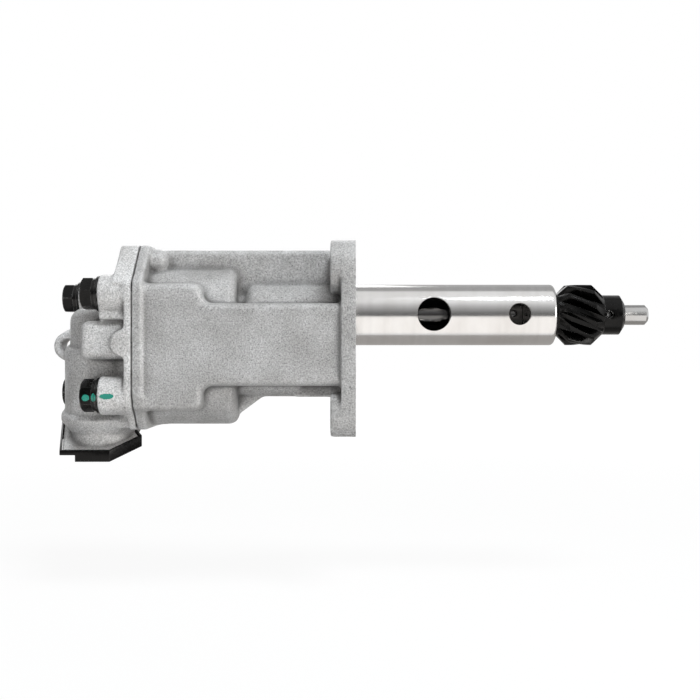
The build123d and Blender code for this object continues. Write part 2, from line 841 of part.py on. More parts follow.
def roll_pin():
    """Slit spring pin through the collar and the shaft."""
    reach = pinion_collar_d / 2 - roll_pin_short
    solid = cross_rod(-reach, reach, roll_pin_d / 2, roll_pin_x)
    solid -= cross_rod(-reach, reach, roll_pin_d / 2 - roll_pin_wall, roll_pin_x)
    half = roll_pin_slit / 2
    return solid - block(roll_pin_x - half, roll_pin_x + half, -reach, reach, 0, roll_pin_d)


# Relief valve
def relief_plunger():
    """Cup-shaped plunger that rests on the body's joint face."""
    face_x = joint_x - face_gap
    end_x = face_x - valve_len
    solid = rod(end_x, face_x, valve_d / 2, valve_y, valve_z)
    return solid - rod(end_x, face_x - valve_head, valve_d / 2 - valve_skirt_wall, valve_y, valve_z)


def relief_spring():
    """Coil spring from inside the plunger to the blind end of its bore."""
    inner_r = valve_d / 2 - valve_skirt_wall
    mean_r = inner_r - spring_wire_d / 2 - face_gap
    high_x = joint_x - face_gap - valve_head - end_float - spring_wire_d / 2
    low_x = joint_x - valve_bore_len + end_float + spring_wire_d / 2
    pitch = (high_x - low_x) / spring_turns
    path = Helix(pitch=pitch, height=high_x - low_x, radius=mean_r)
    start = path @ 0
    section = Plane(origin=start, z_dir=path % 0) * RegularPolygon(spring_wire_d / 2, spring_wire_sides)
    coil = sweep(section, path=path, is_frenet=True)
    place = Location((low_x, valve_y, valve_z), (0, 90, 0))
    return place * coil


# Fasteners
def screw(y, z, boss_len, turn):
    """Hexagon screw of the cover, its head turned by an angle in degrees."""
    seat_x = joint_x - boss_len - flat_washer_thick - spring_washer_thick
    plane = Plane(origin=(seat_x, y, z), x_dir=(0, 1, 0), z_dir=(-1, 0, 0))
    hexagon = Rot(0, 0, turn) * RegularPolygon(screw_head_flats / 2, 6, major_radius=False)
    head = extrude(plane * hexagon, amount=screw_head_height)
    round_r = screw_head_flats / math.sqrt(3)
    dome = [
        (seat_x, 0),
        (seat_x, round_r),
        (seat_x - screw_head_height + screw_head_crown, round_r),
        (seat_x - screw_head_height, screw_face_d / 2),
        (seat_x - screw_head_height, 0),
    ]
    head = head & turned(dome, y, z)
    shank = rod(seat_x, joint_x + screw_grip, screw_d / 2, y, z)
    return head + chamfer(shank.faces().sort_by(Axis.X)[-1].edges(), screw_point_chamfer)


def flat_washer(y, z, boss_len):
    """Plain washer on the seat of a cover boss."""
    seat_x = joint_x - boss_len
    ring = rod(seat_x - flat_washer_thick, seat_x, flat_washer_d / 2, y, z)
    return ring - rod(seat_x - flat_washer_thick, seat_x, screw_d / 2 + flat_washer_gap, y, z)


def spring_washer(y, z, boss_len):
    """Split spring washer between the plain washer and the screw's head."""
    seat_x = joint_x - boss_len - flat_washer_thick
    ring = rod(seat_x - spring_washer_thick, seat_x, spring_washer_d / 2, y, z)
    ring -= rod(seat_x - spring_washer_thick, seat_x, screw_d / 2 + spring_washer_gap, y, z)
    half = spring_washer_slit / 2
    return ring - block(seat_x - spring_washer_thick, seat_x, y - half, y + half, z, z + spring_washer_d)


def dowel(y, z):
    """Dowel that lines up the cover and the body."""
    pin = rod(joint_x - dowel_in_cover, joint_x + dowel_in_body, dowel_d / 2, y, z)
    return chamfer(pin.edges().filter_by(GeomType.CIRCLE), dowel_chamfer)


# Strainer
def strainer_frame():
    """Pressed steel frame folded round the edge of the mouth, with a ledge under the gauze."""
    outer = frame_fit + frame_sheet
    solid = mouth_piece(outer, -frame_skirt, frame_lip)
    solid -= mouth_piece(frame_fit, -frame_skirt, frame_lip)
    ledge_top = -mouth_thick - gauze_thick - frame_fit
    ledge = mouth_piece(outer, -frame_skirt, ledge_top)
    solid += ledge - mouth_piece(-frame_ledge, -frame_skirt, ledge_top)
    left_x = passage_x - mouth_left_back - 2 * outer
    right_x = passage_x - mouth_left_front + frame_notch
    low_z = mouth_z - through_len
    high_z = mouth_z + through_len
    notch = block(left_x, right_x, mouth_front_y - 2 * outer, frame_notch_back_y, low_z, high_z)
    return solid - (notch & sloped_slab(mouth_z, mouth_slope, -2 * frame_skirt, -mouth_thick))


def strainer_gauze():
    """Woven strainer, as a plain sheet clamped between the mouth and the frame."""
    return mouth_piece(-gauze_inset, -mouth_thick - gauze_thick, -mouth_thick)


def together(pieces):
    """Several separate solids in one shape."""
    return Compound(children=[piece.solid() for piece in pieces])


def all_parts():
    """Every sub-part by its name."""
    screws = [screw(*place, turn) for place, turn in zip(screw_places, head_turns)]
    return {
        "pump_body": pump_body(),
        "locating_sleeve": locating_sleeve(),
        "pump_cover": pump_cover(),
        "drive_shaft": drive_shaft(),
        "drive_rotor": drive_rotor(),
        "rotor_key": rotor_key(0),
        "driven_rotor": driven_rotor(),
        "driven_bush": driven_bush(),
        "driven_shaft": driven_shaft(),
        "lower_bush": bush(chamber_floor_x + end_float, lower_bush_len),
        "sleeve_bush": sleeve_bush(),
        "end_bush": end_bush(),
        "helical_pinion": helical_pinion(),
        "roll_pin": roll_pin(),
        "relief_plunger": relief_plunger(),
        "relief_spring": relief_spring(),
        "front_screws": together(screws[:2]),
        "rear_screws": together(screws[2:]),
        "flat_washers": together([flat_washer(*place) for place in screw_places]),
        "spring_washers": together([spring_washer(*place) for place in screw_places]),
        "cover_dowels": together([dowel(*place) for place in dowel_places]),
        "strainer_frame": strainer_frame(),
        "strainer_gauze": strainer_gauze(),
    }


os.makedirs("parts", exist_ok=True)
for name, shape in all_parts().items():
    export_step(shape, "parts/" + name + ".step")
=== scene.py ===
import json
import logging
import math
from dataclasses import dataclass
from enum import Enum

import bmesh
import bpy
import numpy as np
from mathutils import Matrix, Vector


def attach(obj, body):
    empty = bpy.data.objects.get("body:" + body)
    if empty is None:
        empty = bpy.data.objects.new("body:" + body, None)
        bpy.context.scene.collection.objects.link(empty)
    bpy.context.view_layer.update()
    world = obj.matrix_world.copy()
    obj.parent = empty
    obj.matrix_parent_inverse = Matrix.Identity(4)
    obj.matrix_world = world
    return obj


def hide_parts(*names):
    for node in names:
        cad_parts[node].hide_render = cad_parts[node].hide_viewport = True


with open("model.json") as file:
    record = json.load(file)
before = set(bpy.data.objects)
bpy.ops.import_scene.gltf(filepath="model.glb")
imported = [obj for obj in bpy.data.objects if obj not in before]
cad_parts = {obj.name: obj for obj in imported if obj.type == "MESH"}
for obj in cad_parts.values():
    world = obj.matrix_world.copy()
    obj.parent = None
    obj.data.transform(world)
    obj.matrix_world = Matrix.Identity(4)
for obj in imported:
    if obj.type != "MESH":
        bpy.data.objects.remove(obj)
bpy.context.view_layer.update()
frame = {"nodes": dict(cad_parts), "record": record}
LOG = logging.getLogger("oil_pump")

MM = 0.001
JOINT_X = -122.2
TOUCH_MM = 0.01
WHITE = (1.0, 1.0, 1.0, 1.0)

Shader = bpy.types.ShaderNode
Socket = bpy.types.NodeSocket
Material = bpy.types.Material
Piece = bpy.types.Object
Mesh = bmesh.types.BMesh
Vert = bmesh.types.BMVert
Edge = bmesh.types.BMEdge
Face = bmesh.types.BMFace
Point = tuple[float, float, float]


class Slot(Enum):
    """Material slots of the record that new pieces take their finish from."""

    CAST = "cast_aluminium"
    BRIGHT = "bright_steel"
    GEAR = "gear_steel"
    BLACK = "black_steel"
    SCREW = "screw_steel"
    WASHER = "washer_steel"
    BUSH = "bush_metal"
    PRESSED = "pressed_steel"
    GAUZE = "gauze_steel"


# Node boards
class Board:
    """Node tree of a material or of the world, with short ways to add and join its nodes."""

    def __init__(self, name: str, world: bpy.types.World | None = None) -> None:
        """Start a new material, or clear the world's nodes.

        Args:
            name: the material's name.
            world: the world, where the board is the world's own.
        """
        kind = "OutputMaterial" if world is None else "OutputWorld"
        self.owner = bpy.data.materials.new(name) if world is None else world
        self.owner.use_nodes = True
        self.tree = self.owner.node_tree
        self.tree.nodes.clear()
        self.output = self.add(kind)
        self.place = self.add("TexCoord").outputs["Object"]

    def add(self, kind: str, **values: object) -> Shader:
        """Add a node and set its properties or inputs.

        Args:
            kind: the node's type without its ShaderNode prefix.
            values: property names or input names (underscores for spaces) and what they get.

        Returns:
            The new node.
        """
        node = self.tree.nodes.new("ShaderNode" + kind)
        for key, value in values.items():
            label = key.replace("_", " ")
            if hasattr(node, key):
                setattr(node, key, value)
            elif isinstance(value, Socket):
                self.tree.links.new(value, node.inputs[label])
            else:
                node.inputs[label].default_value = value
        return node

    def join(self, source: Socket, target: Socket) -> None:
        """Link an output to an input."""
        self.tree.links.new(source, target)

    def math(self, operation: str, first: object, second: object = 0.0) -> Socket:
        """Add a math node.

        Args:
            operation: the operation's name.
            first: a socket or a number.
            second: a socket or a number.

        Returns:
            The node's output.
        """
        node = self.add("Math", operation=operation)
        for slot, value in zip(node.inputs, (first, second)):
            if isinstance(value, Socket):
                self.join(value, slot)
            else:
                slot.default_value = value
        return node.outputs[0]

    def noise(self, grain_mm: float, detail: float = 3.0, stretch: Point = (1.0, 1.0, 1.0)) -> Socket:
        """Add a noise pattern on Object coordinates.

        Args:
            grain_mm: the size of its grains in millimetres.
            detail: its octaves.
            stretch: scale along each axis, for brushed or turned marks.

        Returns:
            A value about 0.5.
        """
        mapping = self.add("Mapping", Scale=stretch, Vector=self.place)
        pattern = self.add("TexNoise", Scale=1.0 / (grain_mm * MM), Detail=detail, Vector=mapping.outputs[0])
        return pattern.outputs["Fac"]

    def attribute(self, name: str) -> Socket:
        """Read a number that the mesh carries.

        Args:
            name: the attribute's name.

        Returns:
            Its value.
        """
        return self.add("Attribute", attribute_name=name).outputs["Fac"]

    def spread(self, value: Socket, low: float, high: float, to_low: float, to_high: float) -> Socket:
        """Map a value from one range to another, held at its ends.

        Args:
            value: the value.
            low: the low end of its range.
            high: the high end of its range.
            to_low: what the low end becomes.
            to_high: what the high end becomes.

        Returns:
            The mapped value.
        """
        node = self.add("MapRange", clamp=True)
        for label, number in zip(("From Min", "From Max", "To Min", "To Max"), (low, high, to_low, to_high)):
            node.inputs[label].default_value = number
        self.join(value, node.inputs["Value"])
        return node.outputs["Result"]

    def blend(self, factor: object, first: object, second: object, mode: str = "MIX") -> Socket:
        """Mix two colours.

        Args:
            factor: a socket or number.
            first: a socket or colour.
            second: a socket or colour.
            mode: the blend mode.

        Returns:
            The mixed colour.
        """
        node = self.tree.nodes.new("ShaderNodeMix")
        node.data_type = "RGBA"
        node.blend_type = mode
        for label, value in ((0, factor), (6, first), (7, second)):
            if isinstance(value, Socket):
                self.join(value, node.inputs[label])
            elif isinstance(value, float):
                node.inputs[label].default_value = value
            else:
                node.inputs[label].default_value = (*value, 1.0)
        return node.outputs[2]

    def shade(self, colour: object, value: Socket) -> Socket:
        """Multiply a colour by a value.

        Args:
            colour: a socket or colour.
            value: the share of it that stays.

        Returns:
            The darker or lighter colour.
        """
        node = self.add("CombineColor")
        for slot in node.inputs:
            self.join(value, slot)
        return self.blend(1.0, colour, node.outputs[0], "MULTIPLY")

    def bump(self, height: Socket, depth_mm: float, strength: float = 1.0) -> Socket:
        """Turn a height into a bumped normal.

        Args:
            height: the pattern, from 0 to 1.
            depth_mm: the depth that it stands for.
            strength: share of the effect.

        Returns:
            The normal.
        """
        node = self.add("Bump", Strength=strength, Distance=depth_mm * MM, Height=height)
        return node.outputs["Normal"]

    def finish(self, **inputs: object) -> Material:
        """Close the board with a Principled shader.

        Args:
            inputs: its input names (underscores for spaces) and their values or sockets.

        Returns:
            The material.
        """
        shader = self.add("BsdfPrincipled", **inputs)
        self.join(shader.outputs[0], self.output.inputs[0])
        return self.owner


def grey(level: float, warmth: float = 0.0) -> Point:
    """Grey of a level, with a share more red and less blue."""
    return (level * (1 + warmth), level, level * (1 - warmth))


# Finishes
@dataclass(frozen=True)
class PaintMark:
    """Dabs of green torque paint over a screw and its seat, as ellipses seen from the front."""

    colour: Point = (0.015, 0.27, 0.20)
    front_y: float = -20.0
    wobble_mm: float = 1.6
    wobble_share: float = 0.35
    centres: tuple[tuple[float, float, float, float], ...] = (
        (-147.9, -46.6, 2.1, 1.8),
        (-143.3, -46.3, 1.5, 2.2),
        (-135.6, -45.6, 3.9, 1.6),
    )

    def mask(self, board: Board) -> Socket:
        """Find where the paint is.

        Args:
            board: the material's board.

        Returns:
            A value of 1 on the paint.
        """
        split = board.add("SeparateXYZ", Vector=board.place)
        edge = self.wobble_share
        wobble = board.spread(board.noise(self.wobble_mm), 0.3, 0.7, -edge, edge)
        total = board.math("ADD", 0.0, 0.0)
        for x, z, half_x, half_z in self.centres:
            across = board.math("DIVIDE", board.math("SUBTRACT", split.outputs["X"], x * MM), half_x * MM)
            upward = board.math("DIVIDE", board.math("SUBTRACT", split.outputs["Z"], z * MM), half_z * MM)
            across = board.math("MULTIPLY", across, across)
            upward = board.math("MULTIPLY", upward, upward)
            reach = board.math("ADD", board.math("ADD", across, upward), wobble)
            total = board.math("MAXIMUM", total, board.math("LESS_THAN", reach, 1.0))
        front = board.math("LESS_THAN", split.outputs["Y"], self.front_y * MM)
        return board.math("MULTIPLY", total, front)

    def lay(self, board: Board, tone: Socket, metal: float) -> tuple[Socket, Socket]:
        """Lay the paint over a metal.

        Args:
            board: the material's board.
            tone: the metal's colour.
            metal: how metallic it is.

        Returns:
            The colour with the paint on it, and how metallic each point is.
        """
        mark = self.mask(board)
        bare = board.math("SUBTRACT", 1.0, mark)
        return board.blend(mark, tone, self.colour), board.math("MULTIPLY", bare, metal)


@dataclass(frozen=True)
class CastAluminium:
    """Blasted aluminium casting: speckled, with painted shade in its hollows, dirt and painted shade in its
    creases, and edges painted bright as rubbed wear and painted highlight.
    """

    name: str = "cast_aluminium"
    level: float = 0.50
    roughness: float = 0.40
    metal: float = 0.22
    # Colour level of the creases and the joint line, which is partly dirt and partly painted shade.
    dirt_and_shade_level: float = 0.06
    # Level of the edges painted bright: partly rubbed wear, partly painted highlight.
    worn_and_highlight_level: float = 0.72
    # Share of the colour left at the deepest hollows by the painted shade.
    shadow: float = 0.55
    cloud_mm: float = 20.0
    grain_mm: float = 0.85
    pit_mm: float = 0.7
    spot_mm: float = 2.6
    patch_mm: float = 5.0
    seam_mm: tuple[float, float] = (0.25, 0.9)
    depth_mm: float = 0.38
    depth_share: float = 0.80
    paint: PaintMark | None = None

    def build(self) -> Material:
        """Make the material.

        Returns:
            The material.
        """
        board = Board(self.name)
        grain = board.noise(self.grain_mm, 4.0)
        pits = board.noise(self.pit_mm, 2.0)
        tone = self.soil(board, grain, self.grained(board, grain, pits))
        metal: object = self.metal
        if self.paint:
            tone, metal = self.paint.lay(board, tone, self.metal)
        height = board.math("ADD", board.math("MULTIPLY", grain, 0.8), board.math("MULTIPLY", pits, 0.5))
        return board.finish(
            Base_Color=tone,
            Metallic=metal,
            Roughness=board.spread(grain, 0.3, 0.7, self.roughness - 0.08, self.roughness + 0.10),
            Normal=board.bump(height, self.depth_mm, self.depth_share),
        )

    def grained(self, board: Board, grain: Socket, pits: Socket) -> Socket:
        """Colour the clean casting with its clouds, grain, pits and dark spots.

        Args:
            board: the material's board.
            grain: the pattern of its grain.
            pits: the pattern of its pits.

        Returns:
            The colour.
        """
        clouds = board.spread(board.noise(self.cloud_mm, 5.0), 0.34, 0.66, 0.0, 1.0)
        tone = board.blend(clouds, grey(self.level * 0.80, 0.015), grey(self.level * 1.06, 0.004))
        specks = board.spread(pits, 0.30, 0.39, 0.42, 1.0)
        fine = board.spread(grain, 0.34, 0.66, 0.66, 1.20)
        spots = board.spread(board.noise(self.spot_mm, 1.0), 0.18, 0.23, 0.45, 1.0)
        return board.shade(tone, board.math("MULTIPLY", board.math("MULTIPLY", specks, fine), spots))

    def soil(self, board: Board, grain: Socket, tone: Socket) -> Socket:
        """Paint shade into the hollows, darken the creases and the joint line with dirt and painted shade,
        and paint the edges bright in patches as rubbed wear and painted highlight.

        Args:
            board: the material's board.
            grain: the pattern that breaks up the edge of the dirt and painted shade.
            tone: the clean colour.

        Returns:
            The colour.
        """
        # Painted shade: points in hollows are darkened towards the shadow share, standing in for the shade
        # that falls there.
        tone = board.shade(tone, board.spread(board.attribute("hollow"), 0.10, 1.30, 1.0, self.shadow))
        # Creases and tight corners are darkened: partly dirt, partly painted shade.
        crease = board.math("ADD", board.attribute("crease"), board.spread(grain, 0.2, 0.8, -0.02, 0.02))
        dirt_and_shade = board.spread(crease, 0.04, 0.26, 0.0, 0.62)
        tone = board.blend(dirt_and_shade, tone, grey(self.dirt_and_shade_level, 0.04))
        # The joint line is darkened: partly joint dirt, partly painted shade of the gap.
        along = board.add("SeparateXYZ", Vector=board.place).outputs["X"]
        away = board.math("ABSOLUTE", board.math("SUBTRACT", along, JOINT_X * MM))
        seam = board.spread(away, self.seam_mm[0] * MM, self.seam_mm[1] * MM, 0.8, 0.0)
        tone = board.blend(seam, tone, grey(self.dirt_and_shade_level))
        # Convex edges are painted bright in patches: partly rubbed wear, partly painted highlight.
        patches = board.spread(board.noise(self.patch_mm), 0.42, 0.62, 0.08, 0.50)
        worn_and_highlit = board.math("MULTIPLY", board.spread(crease, -0.24, -0.07, 1.0, 0.0), patches)
        return board.blend(worn_and_highlit, tone, grey(self.worn_and_highlight_level))


@dataclass(frozen=True)
class MilledAluminium:
    """Faced or drilled aluminium: bright, with the tool's arcs across it."""

    name: str = "milled_aluminium"
    level: float = 0.72
    roughness: float = 0.28
    arcs_per_m: float = 260.0
    patch_mm: float = 9.0
    depth_mm: float = 0.012

    def build(self) -> Material:
        """Make the material.

        Returns:
            The material.
        """
        board = Board(self.name)
        arcs = board.add("TexWave", wave_type="RINGS", rings_direction="X", Vector=board.place)
        arcs.inputs["Scale"].default_value = self.arcs_per_m
        arcs.inputs["Distortion"].default_value = 2.0
        patches = board.noise(self.patch_mm, 3.0)
        share = board.spread(patches, 0.3, 0.7, 0.0, 1.0)
        height = board.math("ADD", arcs.outputs["Fac"], board.noise(0.5, 2.0))
        return board.finish(
            Base_Color=board.blend(share, grey(self.level), grey(self.level * 0.84, 0.01)),
            Metallic=0.95,
            Roughness=board.spread(patches, 0.3, 0.7, self.roughness - 0.05, self.roughness + 0.09),
            Normal=board.bump(height, self.depth_mm, 0.6),
        )


@dataclass(frozen=True)
class TurnedMetal:
    """Turned or ground metal, with fine rings round the shaft line, and optionally painted shade along the
    part that lies inside the sleeve.
    """

    name: str = "turned_metal"
    level: float = 0.62
    roughness: float = 0.22
    ring_mm: float = 0.35
    band_mm: float = 3.5
    patch_mm: float = 14.0
    depth_mm: float = 0.006
    stain: float = 0.10
    warmth: float = 0.0
    # Where the painted shade inside the sleeve ends along the shaft line, and how dark it gets.
    shaded_inside_to: float | None = None
    inside_shade_level: float = 0.30

    def build(self) -> Material:
        """Make the material.

        Returns:
            The material.
        """
        board = Board(self.name)
        rings = board.noise(self.ring_mm, 2.0, (1.0, 0.02, 0.02))
        bands = board.noise(self.band_mm, 2.0, (1.0, 0.05, 0.05))
        patches = board.noise(self.patch_mm, 4.0, (1.0, 0.6, 0.6))
        tone = board.blend(
            board.spread(patches, 0.35, 0.7, 0.0, 1.0),
            grey(self.level, self.warmth),
            grey(self.level * (1 - self.stain), self.warmth + 0.012),
        )
        tone = board.shade(tone, board.spread(bands, 0.3, 0.7, 0.975, 1.015))
        # Painted shade: the shaft is darkened where it runs inside the sleeve, where shade falls.
        if self.shaded_inside_to is not None:
            along = board.add("SeparateXYZ", Vector=board.place).outputs["X"]
            start, end = (self.shaded_inside_to - 0.5) * MM, (self.shaded_inside_to + 0.5) * MM
            inside_shade = board.spread(along, start, end, self.inside_shade_level, 1.0)
            tone = board.shade(tone, inside_shade)
        smear = board.math("ADD", board.math("MULTIPLY", rings, 0.5), board.math("MULTIPLY", patches, 0.5))
        return board.finish(
            Base_Color=tone,
            Metallic=1.0,
            Roughness=board.spread(smear, 0.35, 0.65, self.roughness - 0.03, self.roughness + 0.05),
            Normal=board.bump(rings, self.depth_mm, 0.6),
        )


@dataclass(frozen=True)
class BlackSteel:
    """Blackened steel with a satin skin, and edges painted lighter: partly rubbed wear, partly painted
    highlight.
    """

    name: str = "black_steel"
    level: float = 0.015
    # Level of the edges painted lighter: rubbed wear and painted highlight.
    edge_level: float = 0.34
    edge_share: float = 0.8
    roughness: float = 0.22
    grain_mm: float = 1.6
    depth_mm: float = 0.012
    metal: float = 1.0
    paint: PaintMark | None = None

    def build(self) -> Material:
        """Make the material.

        Returns:
            The material.
        """
        board = Board(self.name)
        patches = board.spread(board.noise(self.grain_mm * 5, 4.0), 0.3, 0.7, 0.0, 1.0)
        grain = board.noise(self.grain_mm, 4.0)
        tone = board.blend(patches, grey(self.level), grey(self.level * 1.3, 0.01))
        tone = board.shade(tone, board.spread(grain, 0.3, 0.7, 0.9, 1.1))
        # Bevelled edges are painted lighter in patches: partly rubbed wear, partly painted highlight.
        rubbed_and_highlit = board.spread(grain, 0.38, 0.58, self.edge_share * 0.25, self.edge_share)
        worn_and_highlit = board.math("MULTIPLY", board.attribute("edge"), rubbed_and_highlit)
        tone = board.blend(worn_and_highlit, tone, grey(self.edge_level))
        metal: object = self.metal
        if self.paint:
            tone, metal = self.paint.lay(board, tone, self.metal)
        return board.finish(
            Base_Color=tone,
            Metallic=metal,
            Roughness=board.spread(grain, 0.3, 0.7, self.roughness - 0.06, self.roughness + 0.12),
            Normal=board.bump(grain, self.depth_mm, 0.6),
        )


# Mesh helpers
def new_piece(name: str, mesh: bpy.types.Mesh, *materials: Material) -> Piece:
    """Put a mesh in the scene as an object at the origin.

    Args:
        name: the object's name.
        mesh: its mesh.
        materials: its materials, in the order of their numbers.

    Returns:
        The object.
    """
    piece = bpy.data.objects.new(name, mesh)
    bpy.context.scene.collection.objects.link(piece)
    mesh.materials.clear()
    for material in materials:
        mesh.materials.append(material)
    return piece


def from_bmesh(name: str, shape: Mesh, *materials: Material) -> Piece:
    """Turn a bmesh into a smooth-shaded object.

    Args:
        name: the object's name.
        shape: the bmesh, which is freed.
        materials: its materials.

    Returns:
        The object.
    """
    mesh = bpy.data.meshes.new(name)
    shape.to_mesh(mesh)
    shape.free()
    smooth(mesh)
    return new_piece(name, mesh, *materials)


def smooth(mesh: bpy.types.Mesh) -> None:
    """Shade every face of a mesh smooth."""
    for polygon in mesh.polygons:
        polygon.use_smooth = True


def sharpen(shape: Mesh, degrees: float) -> None:
    """Mark edges sharper than an angle, so that smooth shading stops at them.

    Args:
        shape: the shape.
        degrees: the angle.
    """
    for edge in shape.edges:
        if len(edge.link_faces) == 2:
            edge.smooth = edge.calc_face_angle(0.0) < math.radians(degrees)


def round_edges(shape: Mesh, edges: list[Edge], width_mm: float, segments: int) -> list[Face]:
    """Bevel edges round.

    Args:
        shape: the shape.
        edges: its edges to bevel.
        width_mm: how far the bevel reaches from each edge.
        segments: how many faces stand for its round.

    Returns:
        The new faces.
    """
    made = bmesh.ops.bevel(
        shape,
        geom=edges,
        offset=width_mm * MM,
        offset_type="OFFSET",
        segments=segments,
        profile=0.5,
        affect="EDGES",
        clamp_overlap=True,
        material=-1,
    )
    return made["faces"]


def extrude(shape: Mesh, faces: list[Face], push: Vector) -> list[Vert]:
    """Extrude faces, which stay where they are as well.

    Args:
        shape: the shape.
        faces: its faces.
        push: how far their copies move.

    Returns:
        The moved points.
    """
    made = bmesh.ops.extrude_face_region(shape, geom=faces, use_keep_orig=True)
    verts = [item for item in made["geom"] if isinstance(item, Vert)]
    bmesh.ops.translate(shape, verts=verts, vec=push)
    return verts


def node_copy(node: str) -> Mesh:
    """Copy a CAD node's mesh and weld its loose triangles.

    Args:
        node: the node's name.

    Returns:
        The copy.
    """
    shape = bmesh.new()
    shape.from_mesh(frame["nodes"][node].data)
    bmesh.ops.remove_doubles(shape, verts=shape.verts, dist=0.002 * MM)
    return shape


def applied(piece: Piece) -> Piece:
    """Replace a piece's mesh with the result of its modifiers.

    Args:
        piece: the piece.

    Returns:
        The same piece.
    """
    graph = bpy.context.evaluated_depsgraph_get()
    mesh = bpy.data.meshes.new_from_object(piece.evaluated_get(graph))
    old = piece.data
    piece.modifiers.clear()
    piece.data = mesh
    bpy.data.meshes.remove(old)
    return piece


def cut_flat(shape: Mesh, x_mm: float, side: float) -> None:
    """Cut a shape across the shaft line and close it with a flat face.

    Args:
        shape: the shape.
        x_mm: where the cut runs.
        side: +1 to drop what lies beyond the cut, -1 to drop what lies before it.
    """
    normal = Vector((side, 0, 0))
    made = bmesh.ops.bisect_plane(
        shape,
        geom=shape.verts[:] + shape.edges[:] + shape.faces[:],
        dist=0.0005 * MM,
        plane_co=(x_mm * MM, 0, 0),
        plane_no=normal,
        clear_outer=True,
    )
    edges = [item for item in made["geom_cut"] if isinstance(item, Edge)]
    bmesh.ops.triangle_fill(shape, edges=edges, use_beauty=False, use_dissolve=False, normal=normal)


def pin(radius_mm: float, start: Point, end: Point, sides: int = 96) -> Mesh:
    """Round bar between two points, in millimetres.

    Args:
        radius_mm: its radius.
        start: the middle of one end.
        end: the middle of the other.
        sides: how many flats stand for its round.

    Returns:
        The bar.
    """
    line = Vector(end) - Vector(start)
    middle = (Vector(start) + Vector(end)) / 2
    radius = radius_mm * MM
    shape = bmesh.new()
    bmesh.ops.create_cone(
        shape, cap_ends=True, segments=sides, radius1=radius, radius2=radius, depth=line.length * MM
    )
    turn = Vector((0, 0, 1)).rotation_difference(line)
    bmesh.ops.rotate(shape, verts=shape.verts, matrix=turn.to_matrix())
    bmesh.ops.translate(shape, verts=shape.verts, vec=middle * MM)
    return shape


def cut_away(piece: Piece, cutter: Mesh) -> None:
    """Take a cutter's shape out of a piece.

    Args:
        piece: the piece.
        cutter: what is cut away.
    """
    tool = from_bmesh("cutter", cutter)
    for solver in ("MANIFOLD", "EXACT"):
        before = len(piece.data.vertices)
        step = piece.modifiers.new("cut", "BOOLEAN")
        step.operation = "DIFFERENCE"
        step.object = tool
        step.solver = solver
        applied(piece)
        if len(piece.data.vertices) != before:
            break
    else:
        LOG.warning("%s wasn't cut", piece.name)
    mesh = tool.data
    bpy.data.objects.remove(tool)
    bpy.data.meshes.remove(mesh)


def body_of(node: str) -> str:
    """Name of the body that carries a CAD node."""
    bodies = frame["record"]["behaviour"]["bodies"]
    return next(body for body, nodes in bodies.items() if node in nodes)


def stand_in(piece: Piece, node: str) -> Piece:
    """Let a piece ride in a CAD node's place.

    Args:
        piece: the piece.
        node: the node that it replaces.

    Returns:
        The piece.
    """
    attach(piece, body_of(node))
    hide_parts(node)
    LOG.info("%s has %d faces", piece.name, len(piece.data.polygons))
    return piece


# Castings
@dataclass(frozen=True)
class Flat:
    """Machined plane across the shaft line where a casting ends."""

    x_mm: float
    side: float

    def holds(self, face: Face, facing: float) -> bool:
        """Tell whether a face lies in the plane and points out of the casting.

        Args:
            face: the face.
            facing: how squarely it has to point out, up to 1.

        Returns:
            Whether it does.
        """
        away = face.calc_center_median().x / MM - self.x_mm
        return abs(away) < TOUCH_MM and face.normal.x * self.side > facing


@dataclass(frozen=True)
class Drilling:
    """Machined hole or spot face along the shaft line, between two stations."""

    y: float
    z: float
    radius: float
    start_x: float
    end_x: float
    wall_slack: float = 0.06
    floor_slack: float = 0.02

    def cutter(self) -> Mesh:
        """Bar that drills the hole."""
        return pin(self.radius, (self.start_x, self.y, self.z), (self.end_x, self.y, self.z))

    def holds(self, face: Face) -> bool:
        """Tell whether a face is part of the hole's wall or floor.

        Args:
            face: the face.

        Returns:
            Whether it is.
        """
        middle = face.calc_center_median() / MM
        reach = math.hypot(middle.y - self.y, middle.z - self.z)
        along = self.start_x - TOUCH_MM < middle.x < self.end_x + TOUCH_MM
        wall = abs(reach - self.radius) < self.wall_slack and abs(face.normal.x) < 0.3
        floor = reach < self.radius and abs(middle.x - self.end_x) < self.floor_slack
        return along and (wall or floor)


@dataclass(frozen=True)
class Corner:
    """Rounded corner of a casting, filled where a tapped hole would break out through it."""

    end_x: float
    outer_z: float
    inner_z: float
    radius: float = 5.2
    start_x: float = -100.0
    span_y: tuple[float, float] = (-31.6, -21.4)
    steps: int = 8

    def outline(self) -> list[tuple[float, float]]:
        """Draw the corner as seen from the front.

        Returns:
            Its points, as places along the shaft line and heights in millimetres.
        """
        side = math.copysign(1.0, self.outer_z - self.inner_z)
        middle_x = self.end_x - self.radius
        middle_z = self.outer_z - side * self.radius
        points = [(self.start_x, self.inner_z), (self.end_x, self.inner_z)]
        for step in range(self.steps + 1):
            turn = math.pi / 2 * step / self.steps
            x = middle_x + self.radius * math.cos(turn)
            points.append((x, middle_z + side * self.radius * math.sin(turn)))
        return points + [(self.start_x, self.outer_z)]

    def fill(self, shape: Mesh) -> None:
        """Add the corner to a casting as a closed bar.

        Args:
            shape: the casting.
        """
        start_y, end_y = self.span_y
        verts = [shape.verts.new(Vector((x, start_y, z)) * MM) for x, z in self.outline()]
        verts += extrude(shape, [shape.faces.new(verts)], Vector((0, (end_y - start_y) * MM, 0)))
        faces = dict.fromkeys(face for vert in verts for face in vert.link_faces)
        bmesh.ops.recalc_face_normals(shape, faces=list(faces))


